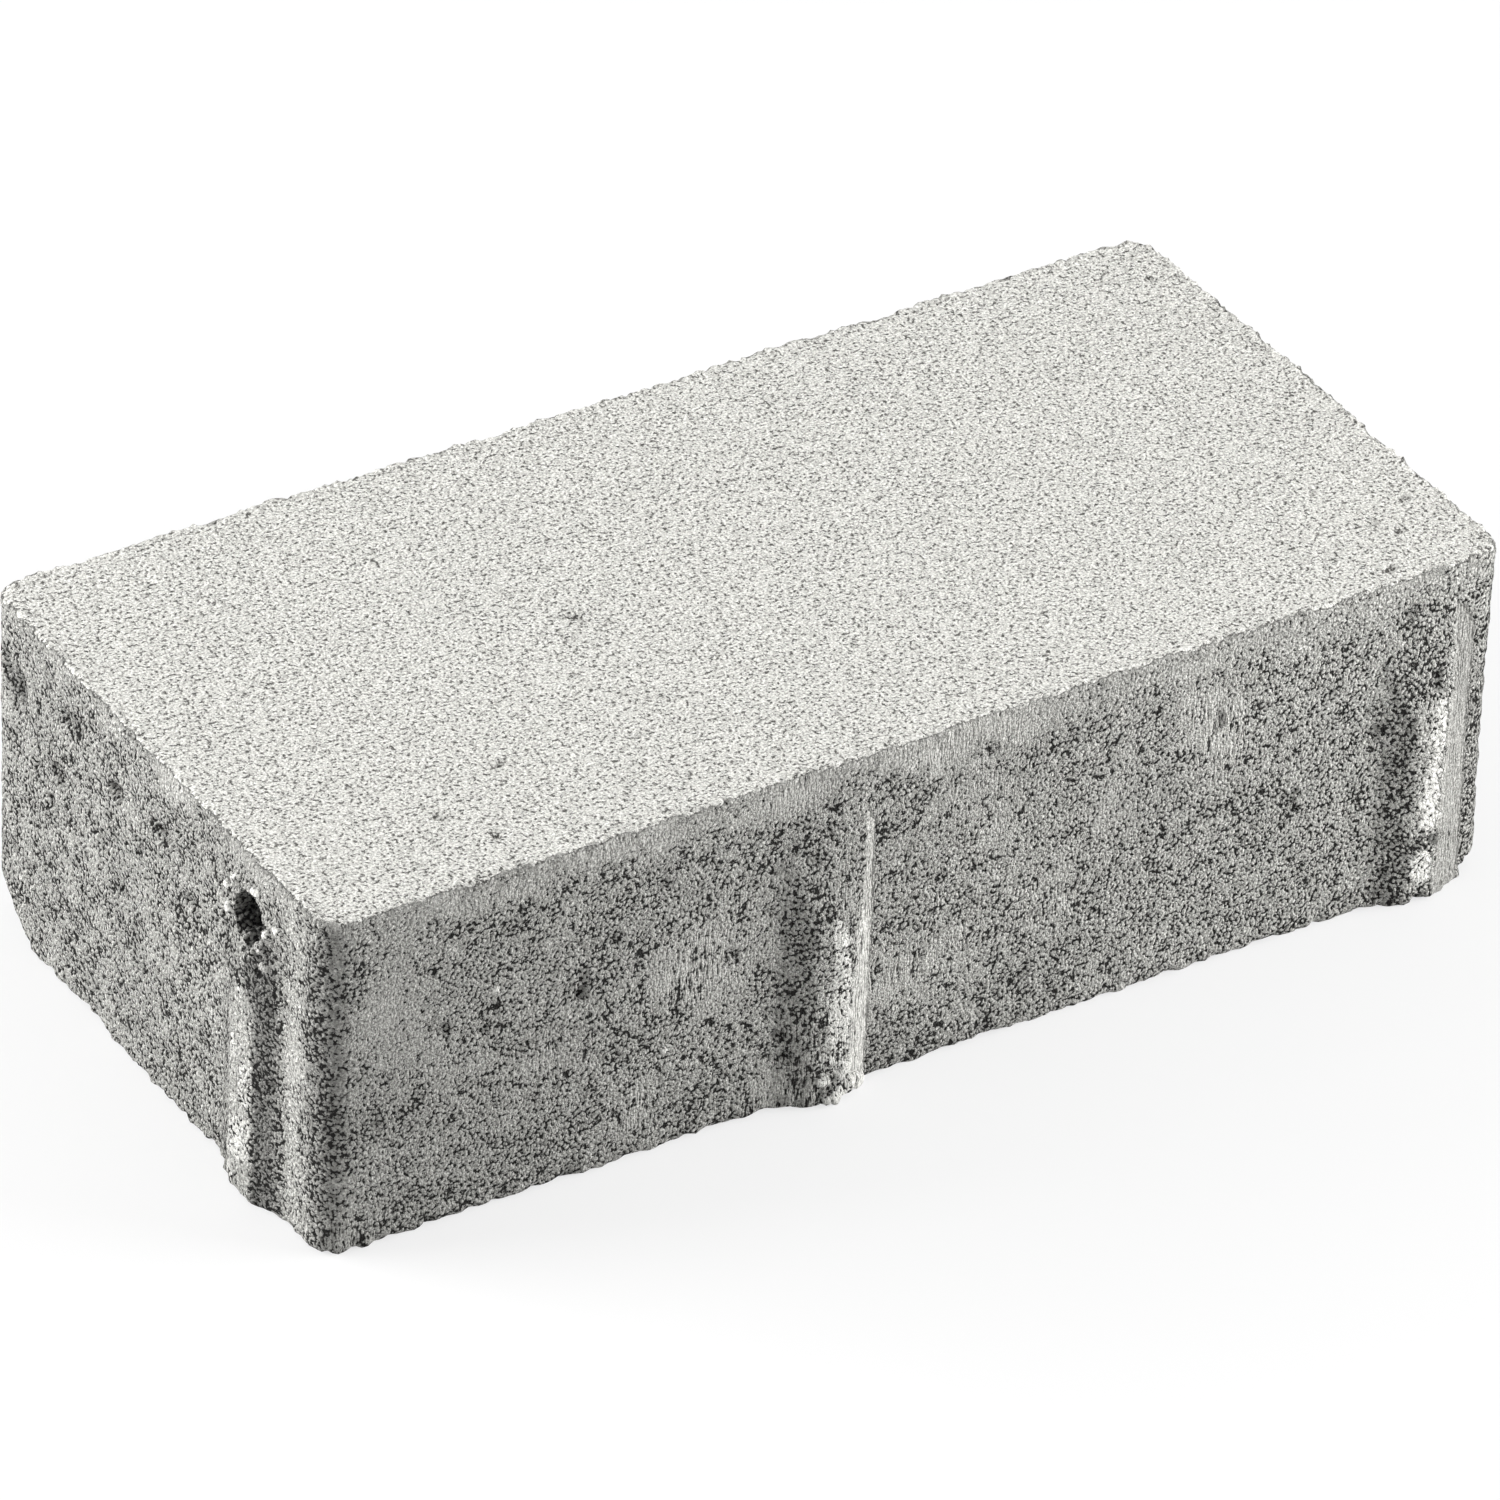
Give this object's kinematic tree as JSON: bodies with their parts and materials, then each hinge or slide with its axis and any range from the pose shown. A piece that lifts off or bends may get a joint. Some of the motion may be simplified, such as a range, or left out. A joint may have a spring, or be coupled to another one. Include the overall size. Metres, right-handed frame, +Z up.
{
  "type": "concrete paving stone",
  "caption": "Rectangular cast concrete paving block with a pale fine top and sloping, round-headed spacer lugs on its sides that set the joint to the next stone.",
  "frame": {"origin": "on the underside, midway along the length and across the width", "axes": "+X along the length, +Y across the width, +Z up through the wearing face"},
  "size_m": [0.212, 0.107, 0.06],
  "materials": {
    "concrete": "dry cast concrete, matt, fine sand grain on top, coarser and pitted on the sides"
  },
  "bodies": {
    "root": {"paving_stone": "concrete"}
  },
  "joints": []
}
